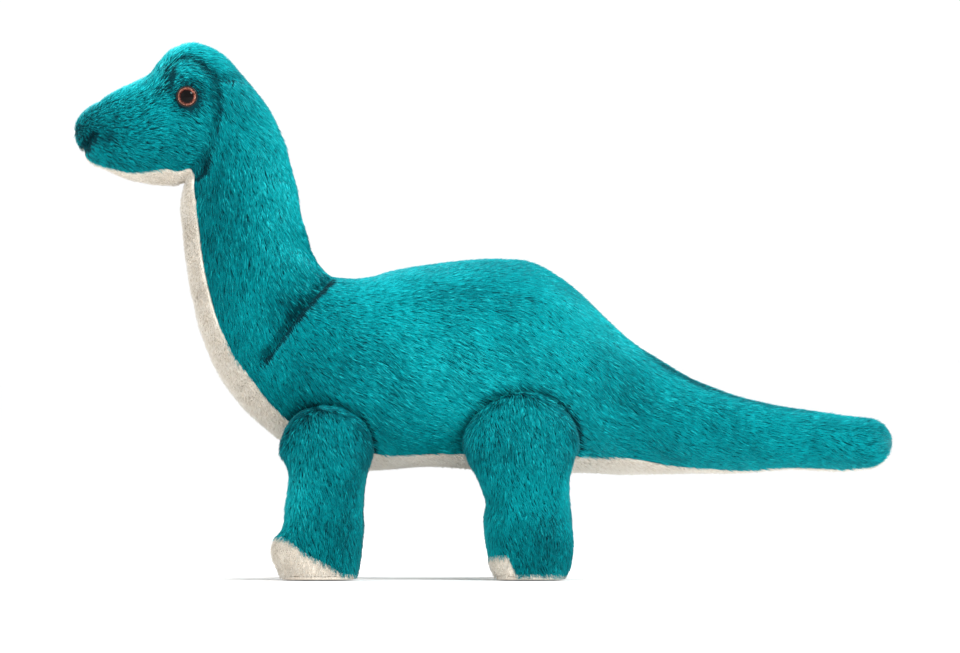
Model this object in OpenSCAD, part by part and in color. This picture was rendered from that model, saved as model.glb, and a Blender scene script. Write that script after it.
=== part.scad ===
// Stuffed long-necked dinosaur: plush panels sewn round a fibre filling.
// X runs from the snout (-X) to the tail tip (+X), Y across, Z up from the floor.
// The toy's left side is -Y. All sizes are in millimetres.

/* [Overall] */
// Length from the snout to the tail tip
toy_length = 528; // [430:2:640]
// Height from the soles to the crown
toy_height = 347; // [285:1:420]

/* [Trunk, neck, head and tail] */
// Width of the trunk
trunk_width = 128; // [104:1:156]
// Width of the neck where it leaves the trunk
neck_width = 76; // [62:1:92]
// Width of the head behind the eyes
head_width = 60; // [50:1:72]
// Width of the tail where it leaves the trunk
tail_width = 88; // [72:1:106]
// Length of the rounded snout end
snout_round = 14; // [10:1:18]
// Length of the rounded tail end
tail_round = 17; // [13:1:21]

/* [Legs] */
// Radius of the round top of a front leg
front_hip_radius = 30; // [25:1:36]
// Radius of the round top of a rear leg
rear_hip_radius = 37; // [30:1:44]
// Width of a leg across the toy
leg_width = 44; // [36:1:54]
// Space between the left and right legs
leg_space = 62; // [50:1:76]
// Thickness of a sole
sole_thickness = 2.5; // [1.5:0.1:4]
// Height of the front toe panel
front_toe_height = 28; // [20:1:34]
// Height of the rear toe panel
rear_toe_height = 16; // [10:1:22]

/* [Skin and clearances] */
// Thickness of a plush panel, backing and pile root together
skin = 3; // [2:0.1:4]
// Space between two stuffed parts at a bending seam
seam_gap = 1; // [0.8:0.1:2]
// Space round the top of a leg
hip_gap = 0.8; // [0.5:0.1:2]

/* [Eyes] */
// Diameter of an eye
eye_diameter = 15; // [12:0.5:18]
// Height of an eye above its seat
eye_height = 6.5; // [5:0.5:8]
// Diameter of an eye's shank
shank_diameter = 4; // [3:0.2:6]
// Length of an eye's shank
shank_length = 8; // [7:0.5:10]
// Diameter of the washer that locks a shank
washer_diameter = 16; // [13:0.5:20]
// Thickness of that washer
washer_thickness = 1.6; // [1:0.1:2.5]
// Space round a shank in its hole
shank_gap = 0.15; // [0.1:0.05:0.3]

/* [Hidden] */

$fn = 64;
TEAL = "#0b8f99";
CREAM = "#efe7d8";
FIBRE = "#f7f7f4";
AMBER = "#b5714f";
PLASTIC = "#20242a";

// The pattern below is drawn for a toy 528 long and 347 high
kx = toy_length / 528;
kz = toy_height / 347;

// Columns round a section, and the columns where its two seams run
COLUMNS = 24;
HALF = COLUMNS / 2;
TOP_SEAM = 4;
LOW_SEAM = 9;
// Rows drawn between two stations, and the stations over which a rounded end fades
ROWS_EACH = 2;
FADE = 4;
// Rings across a rounded end, and the angle of each row of a dome
CAP_STEPS = [0.25, 0.5, 0.75];
DOME_ANGLES = [22, 43, 63, 81];

// A station is [back x, back z, belly x, belly z, share of the width,
// angle of the upper seam, angle of the lower seam]; angles run from the back round to the belly.
NECK_BASE = [-102.5, 199, -160, 118.5];
HEAD_BASE = [-158.5, 328, -193, 257];
TAIL_BASE = [84, 163.5, 87, 69];

TRUNK = [
    concat(NECK_BASE, [0.60, 56, 131]),
    [-90, 195, -143, 101, 0.72, 58, 136],
    [-74, 195, -122, 85, 0.85, 60, 142],
    [-55, 199, -97, 75, 0.94, 60, 147],
    [-34, 202.5, -66, 72.5, 0.99, 60, 149],
    [-12, 205, -34, 73, 1.00, 60, 149],
    [10, 206, -2, 72, 1.00, 60, 148],
    [30, 203.5, 28, 70, 0.97, 60, 146],
    [48, 195, 53, 69, 0.90, 60, 144],
    [66, 181, 72, 69, 0.80, 60, 142],
    concat(TAIL_BASE, [0.688, 60, 140])
];

NECK = [
    concat(NECK_BASE, [1.00, 56, 131]),
    [-112, 214, -170, 133, 0.99, 56, 133],
    [-118, 234, -180, 155, 0.96, 56, 135],
    [-121, 252, -187, 180, 0.93, 56, 137],
    [-125.5, 270, -191.5, 205, 0.89, 56, 137],
    [-131, 287, -194, 227, 0.85, 56, 135],
    [-141, 306, -195, 243, 0.81, 56, 132],
    concat(HEAD_BASE, [0.79, 56, 130])
];

HEAD = [
    concat(HEAD_BASE, [1.00, 44, 132]),
    [-172, 340.5, -200, 256.5, 0.99, 45, 138],
    [-188, 346.5, -207, 257, 0.97, 42, 141],
    [-201, 342.5, -214, 257.5, 0.94, 44, 143],
    [-210, 334, -221, 258.5, 0.91, 52, 145],
    [-217, 326.5, -228, 259.5, 0.87, 50, 147],
    [-226, 321.5, -235, 261.5, 0.83, 47, 150],
    [-236, 317, -242, 264.5, 0.77, 45, 154],
    [-244, 312.5, -247.5, 268, 0.71, 44, 158],
    [-250, 308.5, -252, 270.5, 0.66, 42, 162]
];

TAIL = [
    concat(TAIL_BASE, [1.00, 60, 140]),
    [101, 150, 103, 69, 0.87, 60, 142],
    [119, 138.5, 121, 69, 0.77, 60, 150],
    [139, 127, 141, 69.5, 0.68, 60, 156],
    [161, 119, 162, 70.5, 0.60, 60, 162],
    [184, 113.5, 184, 71, 0.53, 60, 165],
    [208, 108.5, 208, 71, 0.48, 60, 166],
    [230, 105.5, 230, 71, 0.44, 60, 166],
    [248, 103.5, 248, 71.5, 0.40, 60, 166]
];

// Turning angle of each rounded seam between two stuffed parts, seen from the side
NECK_TURN = 95;
HEAD_TURN = 118;
TAIL_TURN = 106;

// Fullness of a section: 2 is an ellipse, more is squarer
TRUNK_FULL = 2.3;
NECK_FULL = 2.1;
HEAD_FULL = 2.3;
TAIL_FULL = 2.1;
LEG_FULL = 2.6;

// Leg outlines: [height, front edge, rear edge], each edge as a share of the hip radius
FRONT_HIP = [-101, 82];
REAR_HIP = [25, 85];
FRONT_LEG = [
    [0, -0.93, 0.57], [2.5, -0.97, 0.62], [8, -1.05, 0.66], [15, -1.14, 0.69],
    [21, -1.15, 0.71], [27, -1.07, 0.73], [33, -0.93, 0.75], [48, -0.83, 0.77],
    [60, -0.77, 0.79], [70, -0.80, 0.86], [76, -0.87, 0.94], [82, -0.97, 0.99]
];
REAR_LEG = [
    [0, -0.42, 0.70], [2.5, -0.45, 0.76], [8, -0.52, 0.84], [17, -0.56, 0.88],
    [30, -0.60, 0.90], [40, -0.60, 0.87], [50, -0.59, 0.83], [60, -0.69, 0.82],
    [68, -0.80, 0.84], [76, -0.92, 0.91], [85, -0.99, 0.99]
];
LEG_ROWS = 9;
TOE_ROWS = 2;
LEG_COLUMNS = 20;
// Share of the leg's width that is left at the top of its round end
LEG_TOP_SHARE = 0.8;
// Least height of a toe panel behind the foot
TOE_BACK = 4;
// Shares of a foot's length between which its toe panel slopes down
FRONT_TOE_SLOPE = [-0.9, 0.75];
REAR_TOE_SLOPE = [-0.5, -0.25];

// Place of an eye on the side of the head, and the depth of its flat seat across the toy
EYE_PLACE = [-191.5, 312.5];
EYE_SEAT = 0.91;

// ---- curves and sections ----

// Smooth curve through the stations at a place u, counted in stations
function along(stations, u) =
    let (
        last = len(stations) - 1,
        i = min(floor(u), last - 1),
        f = u - i,
        b = stations[i],
        c = stations[i + 1],
        a = i > 0 ? stations[i - 1] : 2 * b - c,
        d = i + 2 <= last ? stations[i + 2] : 2 * c - b
    )
    (2 * b + (c - a) * f + (2 * a - 5 * b + 4 * c - d) * f * f
        + (3 * b - a - 3 * c + d) * f * f * f) / 2;

function unit(v) = v / norm(v);
function power_of(x, p) = sign(x) * pow(abs(x), p);

// Centre and radius of the arc through two points that turns by an angle, bulging to one side
function arc_of(a, b, turn, side) =
    let (
        half = norm(b - a) / 2,
        d = unit(b - a),
        n = [-d.y, d.x] * side,
        centre = (a + b) / 2 - n * half / tan(turn / 2)
    )
    [centre, half / sin(turn / 2)];

function back_of(station) = [station[0] * kx, station[1] * kz];
function belly_of(station) = [station[2] * kx, station[3] * kz];

NECK_BALL = arc_of(back_of(NECK_BASE), belly_of(NECK_BASE), NECK_TURN, 1);
HEAD_BALL = arc_of(back_of(HEAD_BASE), belly_of(HEAD_BASE), HEAD_TURN, 1);
TAIL_BALL = arc_of(back_of(TAIL_BASE), belly_of(TAIL_BASE), TAIL_TURN, 1);

// Angle of a column: even between the back, the upper seam, the lower seam and the belly
function column_angle(station, j) =
    j > HALF ? 360 - column_angle(station, COLUMNS - j)
    : j <= TOP_SEAM ? station[5] * j / TOP_SEAM
    : j <= LOW_SEAM ? station[5] + (station[6] - station[5]) * (j - TOP_SEAM) / (LOW_SEAM - TOP_SEAM)
    : station[6] + (180 - station[6]) * (j - LOW_SEAM) / (HALF - LOW_SEAM);

// Point on a flat section, inset from the outer surface and shrunk by k about its middle
function section_point(station, width, full, j, inset, k) =
    let (
        top = back_of(station),
        low = belly_of(station),
        d = unit(low - top) * inset,
        mid = (top + low) / 2,
        half = (top - low) / 2 + d,
        a = column_angle(station, j),
        up = power_of(cos(a), 2 / full) * k,
        side = power_of(sin(a), 2 / full) * k
    )
    [mid.x + half.x * up, (station[4] * width / 2 - inset) * side, mid.y + half.y * up];

// The same point moved straight out from a ball's centre, in the side view, onto the ball
function on_ball(p, ball, gap) =
    let (
        d = [p.x - ball[0].x, p.z - ball[0].y],
        r = ball[1] + gap,
        q = sqrt(r * r - p.y * p.y) / norm(d)
    )
    [ball[0].x + d.x * q, p.y, ball[0].y + d.y * q];

// A stuffed part is [stations, width, fullness, first ball, its gap, last ball, its gap,
// dome length, whether its rows run towards the head]; it ends on the last ball,
// or in a dome where that is undef.
function rows_of(part) = (len(part[0]) - 1) * ROWS_EACH;

function fade(u) = pow(max(0, 1 - u / FADE), 2);

// Point of a stuffed part on row i and column j
function skin_point(part, i, j, inset, k) =
    let (
        last = len(part[0]) - 1,
        u = i / ROWS_EACH,
        p = section_point(along(part[0], u), part[1], part[2], j, inset, k),
        first = section_point(part[0][0], part[1], part[2], j, inset, k),
        start = (on_ball(first, part[3], part[4]) - first) * fade(u),
        final = section_point(part[0][last], part[1], part[2], j, inset, k),
        finish = part[5] == undef ? [0, 0, 0]
            : (on_ball(final, part[5], part[6]) - final) * fade(last - u)
    )
    p + start + finish;

// Point of the dome that ends a part, at an angle from the last section towards the tip
function dome_point(part, angle, j, inset) =
    let (
        last = part[0][len(part[0]) - 1],
        p = section_point(last, part[1], part[2], j, inset, cos(angle)),
        d = unit(back_of(last) - belly_of(last)),
        heading = last[0] > 0 ? 1 : -1,
        out = [abs(d.y), -abs(d.y) * d.x / d.y] * heading * (part[7] - inset) * sin(angle)
    )
    p + [out.x, 0, out.y];

function part_rows(part, inset) = concat(
    [for (i = [0:rows_of(part)]) [for (j = [0:COLUMNS - 1]) skin_point(part, i, j, inset, 1)]],
    part[5] == undef
        ? [for (a = DOME_ANGLES) [for (j = [0:COLUMNS - 1]) dome_point(part, a, j, inset)]]
        : []
);

// ---- solids from rows of points ----

function flat(rows) = [for (row = rows) each row];

function reversed(faces) = [for (f = faces) [f[2], f[1], f[0]]];

// Two triangles for each cell of a grid of m rows and n columns whose points start at an offset.
// The first column is number from of total round the section, and cells past half way round
// are split the other way, so that the toy's two sides mirror each other.
function grid_faces(m, n, offset, closed, from, total) = [
    for (i = [0:m - 2])
        for (j = [0:n - (closed ? 1 : 2)])
            let (
                a = offset + i * n + j,
                b = offset + i * n + (j + 1) % n,
                c = b + n,
                d = a + n,
                column = (from + j + total) % total
            )
            each (column < total / 2 ? [[a, b, c], [a, c, d]] : [[a, b, d], [b, c, d]])
];

// A closed solid of triangles, turned inside out where its rows run the other way
module solid(points, faces, turned) {
    polyhedron(points, turned ? reversed(faces) : faces, convexity = 6);
}

// A closed solid from rows of points, with a point in the middle of each end
module filled(rows, first, final, turned) {
    n = len(rows[0]);
    m = len(rows);
    points = concat(flat(rows), [first, final]);
    start = n * m;
    solid(points, concat(
        grid_faces(m, n, 0, true, 0, n),
        [for (j = [0:n - 1]) [start, (j + 1) % n, j]],
        [for (j = [0:n - 1]) [start + 1, (m - 1) * n + j, (m - 1) * n + (j + 1) % n]]
    ), turned);
}

// A panel of the skin between two columns of the outer and the inner rows, closed all round
module panel(outer, inner, from, to, turned) {
    n = to - from + 1;
    m = len(outer);
    total = len(outer[0]);
    pick = [for (j = [from:to]) (j + total) % total];
    points = concat(
        [for (row = outer) each [for (j = pick) row[j]]],
        [for (row = inner) each [for (j = pick) row[j]]]
    );
    o = n * m;
    solid(points, concat(
        grid_faces(m, n, 0, false, from, total),
        reversed(grid_faces(m, n, o, false, from, total)),
        [for (i = [0:m - 2]) each [
            [i * n, (i + 1) * n, o + (i + 1) * n],
            [i * n, o + (i + 1) * n, o + i * n],
            [i * n + n - 1, o + i * n + n - 1, o + (i + 1) * n + n - 1],
            [i * n + n - 1, o + (i + 1) * n + n - 1, (i + 1) * n + n - 1]
        ]],
        [for (j = [0:n - 2]) each [
            [j, o + j, o + j + 1],
            [j, o + j + 1, j + 1],
            [(m - 1) * n + j, (m - 1) * n + j + 1, o + (m - 1) * n + j + 1],
            [(m - 1) * n + j, o + (m - 1) * n + j + 1, o + (m - 1) * n + j]
        ]]
    ), turned);
}

// A ring of skin all the way round, closed at both edges
module band(outer, inner, turned) {
    n = len(outer[0]);
    m = len(outer);
    o = n * m;
    solid(concat(flat(outer), flat(inner)), concat(
        grid_faces(m, n, 0, true, 0, n),
        reversed(grid_faces(m, n, o, true, 0, n)),
        [for (j = [0:n - 1]) let (k = (j + 1) % n) each [
            [j, o + j, o + k],
            [j, o + k, k],
            [(m - 1) * n + j, (m - 1) * n + k, o + (m - 1) * n + k],
            [(m - 1) * n + j, o + (m - 1) * n + k, o + (m - 1) * n + j]
        ]]
    ), turned);
}

// The filling of a stuffed part, with its ends lying on the balls or in the dome
module stuffing_of(part) {
    n = rows_of(part);
    cap_rows = [for (k = CAP_STEPS) [for (j = [0:COLUMNS - 1]) skin_point(part, 0, j, skin, k)]];
    end_rows = [for (k = CAP_STEPS) [for (j = [0:COLUMNS - 1]) skin_point(part, n, j, skin, 1 - k)]];
    rows = concat(cap_rows, part_rows(part, skin), part[5] == undef ? [] : end_rows);
    first = skin_point(part, 0, 0, skin, 0);
    final = part[5] == undef ? dome_point(part, 90, 0, skin) : skin_point(part, n, 0, skin, 0);
    filled(rows, first, final, part[8]);
}

module panel_of(part, from, to) {
    panel(part_rows(part, 0), part_rows(part, skin), from, to, part[8]);
}

TRUNK_PART = [TRUNK, trunk_width, TRUNK_FULL, NECK_BALL, seam_gap, TAIL_BALL, 0, undef, false];
NECK_PART = [NECK, neck_width, NECK_FULL, NECK_BALL, 0, HEAD_BALL, seam_gap, undef, true];
HEAD_PART = [HEAD, head_width, HEAD_FULL, HEAD_BALL, 0, undef, 0, snout_round, true];
TAIL_PART = [TAIL, tail_width, TAIL_FULL, TAIL_BALL, seam_gap, undef, 0, tail_round, false];

// The same piece on the other side of the toy
module other_side() mirror([0, 1, 0]) children();

// ---- trunk ----

// Room for the round tops of the four legs
module hip_room() {
    for (side = [-1, 1])
        for (hip = [[FRONT_HIP, front_hip_radius], [REAR_HIP, rear_hip_radius]])
            translate([hip[0].x * kx, side * (leg_space / 2 - hip_gap), hip[0].y * kz])
                rotate([-90 * side, 0, 0])
                    cylinder(r = hip[1] + hip_gap, h = trunk_width);
}

module torso_stuffing() color(FIBRE) difference() {
    stuffing_of(TRUNK_PART);
    hip_room();
}

module body_side_right() color(TEAL) difference() {
    panel_of(TRUNK_PART, 0, LOW_SEAM);
    hip_room();
}

module body_side_left() other_side() body_side_right();

module belly_panel() color(CREAM) difference() {
    panel_of(TRUNK_PART, LOW_SEAM, COLUMNS - LOW_SEAM);
    hip_room();
}

// ---- neck ----

module neck_stuffing() color(FIBRE) stuffing_of(NECK_PART);
module neck_side_right() color(TEAL) panel_of(NECK_PART, 0, LOW_SEAM);
module neck_side_left() other_side() neck_side_right();
module throat_panel() color(CREAM) panel_of(NECK_PART, LOW_SEAM, COLUMNS - LOW_SEAM);

// ---- head ----

seat_depth = head_width / 2 * EYE_SEAT;

// Turns a shape that points up so that it points out of the right side of the head at the eye
module at_eye() {
    translate([EYE_PLACE.x * kx, seat_depth, EYE_PLACE.y * kz])
        rotate([-90, 0, 0])
            children();
}

// The flat seat of an eye and the hole for its shank
module eye_cuts() {
    at_eye() cylinder(d = eye_diameter + 2 * shank_gap, h = 2 * eye_height);
    at_eye() translate([0, 0, -shank_length])
        cylinder(d = shank_diameter + 2 * shank_gap, h = shank_length + 1);
}

// The hollow in the filling that the washer and the shank lie in
module washer_room() {
    at_eye() translate([0, 0, -shank_length - seam_gap])
        cylinder(d = washer_diameter + seam_gap, h = shank_length + 2 * eye_height);
}

module head_stuffing() color(FIBRE) difference() {
    stuffing_of(HEAD_PART);
    washer_room();
    other_side() washer_room();
}

module head_side_right() color(TEAL) difference() {
    panel_of(HEAD_PART, TOP_SEAM, LOW_SEAM);
    eye_cuts();
}

module head_side_left() other_side() head_side_right();
module crown_panel() color(TEAL) panel_of(HEAD_PART, -TOP_SEAM, TOP_SEAM);
module chin_panel() color(CREAM) panel_of(HEAD_PART, LOW_SEAM, COLUMNS - LOW_SEAM);

// A domed plastic eye on a rim, with its shank behind it
module eye_right() {
    rim = 2;
    dome = eye_height - rim;
    r = eye_diameter / 2 - 0.8;
    ball = (r * r + dome * dome) / (2 * dome);
    color(AMBER) at_eye() union() {
        cylinder(d = eye_diameter, h = rim);
        translate([0, 0, rim]) intersection() {
            translate([0, 0, dome - ball]) sphere(r = ball);
            cylinder(r = eye_diameter, h = eye_height);
        }
        translate([0, 0, -shank_length])
            cylinder(d = shank_diameter, h = shank_length + rim / 2);
    }
}

module eye_left() other_side() eye_right();

module eye_washer_right() {
    color(PLASTIC) at_eye() translate([0, 0, -shank_length + 1]) difference() {
        cylinder(d = washer_diameter, h = washer_thickness);
        translate([0, 0, -1]) cylinder(d = shank_diameter + shank_gap, h = washer_thickness + 2);
    }
}

module eye_washer_left() other_side() eye_washer_right();

// ---- tail ----

module tail_stuffing() color(FIBRE) stuffing_of(TAIL_PART);
module tail_side_right() color(TEAL) panel_of(TAIL_PART, 0, LOW_SEAM);
module tail_side_left() other_side() tail_side_right();
module under_tail_panel() color(CREAM) panel_of(TAIL_PART, LOW_SEAM, COLUMNS - LOW_SEAM);

// ---- legs ----

// A leg is [hip centre, hip radius, outline, toe height, toe slope]
FRONT = [FRONT_HIP, front_hip_radius, FRONT_LEG, front_toe_height, FRONT_TOE_SLOPE];
REAR = [REAR_HIP, rear_hip_radius, REAR_LEG, rear_toe_height, REAR_TOE_SLOPE];

function smooth(t) = let (c = min(1, max(0, t))) c * c * (3 - 2 * c);

// Front or rear edge of a leg at a height, from the hip centre
function leg_edge(leg, z, which) =
    leg[1] * lookup(z / kz, [for (row = leg[2]) [row[0], row[which]]]);

// Height of the toe seam at a column: high in front, low behind
function toe_seam(leg, a) =
    let (low = TOE_BACK + sole_thickness, slope = leg[4])
    low + (leg[3] - low) * (1 - smooth((cos(a) - slope[0]) / (slope[1] - slope[0])));

function leg_angle(j) = 360 * j / LEG_COLUMNS;

// Height of row i at a column: toe rows, then rows up to the hip
function leg_height(leg, i, a) =
    let (seam = toe_seam(leg, a), hip = leg[0].y * kz)
    i <= TOE_ROWS ? sole_thickness + (seam - sole_thickness) * i / TOE_ROWS
    : seam + (hip - seam) * (i - TOE_ROWS) / (LEG_ROWS - TOE_ROWS);

// Point of a leg: a squared ellipse between its edges at that height
function leg_point(leg, i, j, inset) =
    let (
        a = leg_angle(j),
        z = leg_height(leg, i, a),
        front = leg_edge(leg, z, 1) + inset,
        rear = leg_edge(leg, z, 2) - inset,
        half_y = leg_width / 2 - inset,
        c = power_of(cos(a), 2 / LEG_FULL),
        s = power_of(sin(a), 2 / LEG_FULL)
    )
    [
        leg[0].x * kx + (front + rear) / 2 + (rear - front) / 2 * c,
        (leg_space + leg_width) / 2 + half_y * s,
        z
    ];

// Point of a leg's round top, at an angle up from the hip
function hip_point(leg, angle, j, inset) =
    let (
        a = leg_angle(j),
        r = leg[1] - inset,
        share = 1 - (1 - LEG_TOP_SHARE) * sin(angle),
        half_x = (leg_edge(leg, leg[0].y * kz, 2) - leg_edge(leg, leg[0].y * kz, 1)) / 2 - inset,
        middle = (leg_edge(leg, leg[0].y * kz, 2) + leg_edge(leg, leg[0].y * kz, 1)) / 2,
        half_y = (leg_width * share) / 2 - inset,
        centre_y = leg_space / 2 + leg_width * share / 2
    )
    [
        leg[0].x * kx + middle + half_x * cos(angle) * power_of(cos(a), 2 / LEG_FULL),
        centre_y + half_y * power_of(sin(a), 2 / LEG_FULL) * cos(angle / 2),
        leg[0].y * kz + r * sin(angle)
    ];

function leg_rows(leg, first, inset) = concat(
    [for (i = [first:LEG_ROWS]) [for (j = [0:LEG_COLUMNS - 1]) leg_point(leg, i, j, inset)]],
    [for (a = DOME_ANGLES) [for (j = [0:LEG_COLUMNS - 1]) hip_point(leg, a, j, inset)]]
);

function row_middle(row) = [for (k = [0:2]) ([for (p = row) p[k]] * [for (p = row) 1]) / len(row)];

module leg_stuffing(leg) {
    rows = leg_rows(leg, 0, skin);
    filled(rows, row_middle(rows[0]), row_middle(rows[len(rows) - 1]) + [0, 0, 0.5], true);
}

module leg_panel(leg, from, to) {
    panel(leg_rows(leg, TOE_ROWS, 0), leg_rows(leg, TOE_ROWS, skin), from, to, true);
}

module leg_toe_panel(leg) {
    outer = leg_rows(leg, 0, 0);
    inner = leg_rows(leg, 0, skin);
    band([for (i = [0:TOE_ROWS]) outer[i]], [for (i = [0:TOE_ROWS]) inner[i]], true);
}

module leg_sole(leg) {
    ring = leg_rows(leg, 0, 0)[0];
    linear_extrude(sole_thickness) polygon([for (p = ring) [p.x, p.y]]);
}

module leg_front_right_stuffing() color(FIBRE) leg_stuffing(FRONT);
module leg_front_right_outer_panel() color(TEAL) leg_panel(FRONT, 0, LEG_COLUMNS / 2);
module leg_front_right_inner_panel() color(TEAL) leg_panel(FRONT, LEG_COLUMNS / 2, LEG_COLUMNS);
module leg_front_right_toe_panel() color(CREAM) leg_toe_panel(FRONT);
module leg_front_right_sole() color(CREAM) leg_sole(FRONT);

module leg_front_left_stuffing() other_side() leg_front_right_stuffing();
module leg_front_left_outer_panel() other_side() leg_front_right_outer_panel();
module leg_front_left_inner_panel() other_side() leg_front_right_inner_panel();
module leg_front_left_toe_panel() other_side() leg_front_right_toe_panel();
module leg_front_left_sole() other_side() leg_front_right_sole();

module leg_rear_right_stuffing() color(FIBRE) leg_stuffing(REAR);
module leg_rear_right_outer_panel() color(TEAL) leg_panel(REAR, 0, LEG_COLUMNS / 2);
module leg_rear_right_inner_panel() color(TEAL) leg_panel(REAR, LEG_COLUMNS / 2, LEG_COLUMNS);
module leg_rear_right_toe_panel() color(CREAM) leg_toe_panel(REAR);
module leg_rear_right_sole() color(CREAM) leg_sole(REAR);

module leg_rear_left_stuffing() other_side() leg_rear_right_stuffing();
module leg_rear_left_outer_panel() other_side() leg_rear_right_outer_panel();
module leg_rear_left_inner_panel() other_side() leg_rear_right_inner_panel();
module leg_rear_left_toe_panel() other_side() leg_rear_right_toe_panel();
module leg_rear_left_sole() other_side() leg_rear_right_sole();

// ---- nodes ----

torso_stuffing();
body_side_left();
body_side_right();
belly_panel();
neck_stuffing();
neck_side_left();
neck_side_right();
throat_panel();
head_stuffing();
head_side_left();
head_side_right();
crown_panel();
chin_panel();
eye_left();
eye_right();
eye_washer_left();
eye_washer_right();
tail_stuffing();
tail_side_left();
tail_side_right();
under_tail_panel();
leg_front_left_stuffing();
leg_front_left_outer_panel();
leg_front_left_inner_panel();
leg_front_left_toe_panel();
leg_front_left_sole();
leg_front_right_stuffing();
leg_front_right_outer_panel();
leg_front_right_inner_panel();
leg_front_right_toe_panel();
leg_front_right_sole();
leg_rear_left_stuffing();
leg_rear_left_outer_panel();
leg_rear_left_inner_panel();
leg_rear_left_toe_panel();
leg_rear_left_sole();
leg_rear_right_stuffing();
leg_rear_right_outer_panel();
leg_rear_right_inner_panel();
leg_rear_right_toe_panel();
leg_rear_right_sole();
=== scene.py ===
import math

import bmesh
import bpy
import numpy as np
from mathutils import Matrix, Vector


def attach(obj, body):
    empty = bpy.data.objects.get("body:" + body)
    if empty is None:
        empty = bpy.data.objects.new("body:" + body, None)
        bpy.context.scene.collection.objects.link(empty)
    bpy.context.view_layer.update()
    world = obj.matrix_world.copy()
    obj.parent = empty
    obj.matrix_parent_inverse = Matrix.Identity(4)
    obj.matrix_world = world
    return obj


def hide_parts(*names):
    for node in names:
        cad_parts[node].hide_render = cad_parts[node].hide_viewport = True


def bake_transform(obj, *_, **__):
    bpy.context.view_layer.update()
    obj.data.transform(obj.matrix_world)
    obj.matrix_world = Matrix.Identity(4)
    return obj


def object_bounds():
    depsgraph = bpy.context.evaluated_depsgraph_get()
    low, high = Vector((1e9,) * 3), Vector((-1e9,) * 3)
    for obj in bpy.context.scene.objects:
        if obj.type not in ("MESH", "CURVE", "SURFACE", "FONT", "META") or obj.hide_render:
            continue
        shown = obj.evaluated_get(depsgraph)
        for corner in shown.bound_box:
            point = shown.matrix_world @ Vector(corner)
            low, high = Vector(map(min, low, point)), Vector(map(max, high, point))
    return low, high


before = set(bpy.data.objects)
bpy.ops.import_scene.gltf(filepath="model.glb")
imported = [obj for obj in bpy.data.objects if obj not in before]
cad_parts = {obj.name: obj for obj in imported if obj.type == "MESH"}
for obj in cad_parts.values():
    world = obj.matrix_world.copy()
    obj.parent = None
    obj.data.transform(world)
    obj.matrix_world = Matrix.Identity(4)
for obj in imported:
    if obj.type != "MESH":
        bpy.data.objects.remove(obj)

cadLow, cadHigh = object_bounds()
mm = 0.001
drawnBox = np.array([529.75, 150.0, 346.5]) * mm  # size of the toy that the stations are drawn for
stretch = np.array(cadHigh - cadLow) / drawnBox
across = np.array([1, -1, 1])  # turns a point over to the toy's other side
print("frame loaded, box", [round(x, 4) for x in stretch * drawnBox])


# ---- numbers and noise ----

def unit(v):
    # each vector divided by its length
    return v / np.maximum(np.linalg.norm(v, axis=-1, keepdims=True), 1e-12)


def ease(x, low, high):
    # 0 below low, 1 above high, with the curve 3k^2 - 2k^3 between them
    k = np.clip((x - low) / (high - low), 0, 1)
    return k * k * (3 - 2 * k)


def hump(x, width):
    # bell curve exp(-(x / width)^2)
    return np.exp(-((x / width) ** 2))


def waves(p, size, seed):
    # seven sine waves along random directions, each about size long, added up to about -1..1
    draw = np.random.default_rng(seed)
    turn = unit(draw.normal(size=(7, 3))) * 2 * math.pi / (size * draw.uniform(0.7, 1.5, (7, 1)))
    return np.sin(p @ turn.T + draw.uniform(0, 2 * math.pi, 7)).sum(-1) / 3


def tuftNumber(p, size, seed):
    # one random number -1..1 for each cube of space, so that neighbours in a tuft share it
    cube = np.floor(p / size).astype(np.int64)
    mixed = (cube @ np.array([73856093, 19349663, 83492791]) + seed * 40503) & 0x7FFFFFFF
    mixed = (mixed * 1103515245 + 12345) & 0x7FFFFFFF
    mixed = (mixed * 69069 + 1) & 0x7FFFFFFF
    return (mixed >> 8) % 65536 / 32767.5 - 1


def lineDistance(p, line):
    # distance in the side view from each point to the nearest piece of a line of [x, z] points, in mm
    flat = p[..., [0, 2]] / mm
    best = np.full(flat.shape[:-1], 1e9)
    line = np.array(line, float)
    for a, b in zip(line[:-1], line[1:]):
        d = b - a
        k = np.clip(((flat - a) @ d) / (d @ d), 0, 1)
        best = np.minimum(best, np.linalg.norm(flat - a - k[..., None] * d, axis=-1))
    return best


def smoothLookup(x, xs, ys):
    # cubic curve through the points with the slope of a running difference at each
    xs, ys = np.array(xs, float), np.array(ys, float)
    slope = np.gradient(ys, xs)
    i = np.clip(np.searchsorted(xs, x, side="right") - 1, 0, len(xs) - 2)
    h = xs[i + 1] - xs[i]
    f = np.clip((x - xs[i]) / h, 0, 1)
    return (
        (2 * f**3 - 3 * f**2 + 1) * ys[i]
        + (f**3 - 2 * f**2 + f) * h * slope[i]
        + (3 * f**2 - 2 * f**3) * ys[i + 1]
        + (f**3 - f**2) * h * slope[i + 1]
    )


# ---- the spine: one surface from the snout to the tail tip ----

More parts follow.
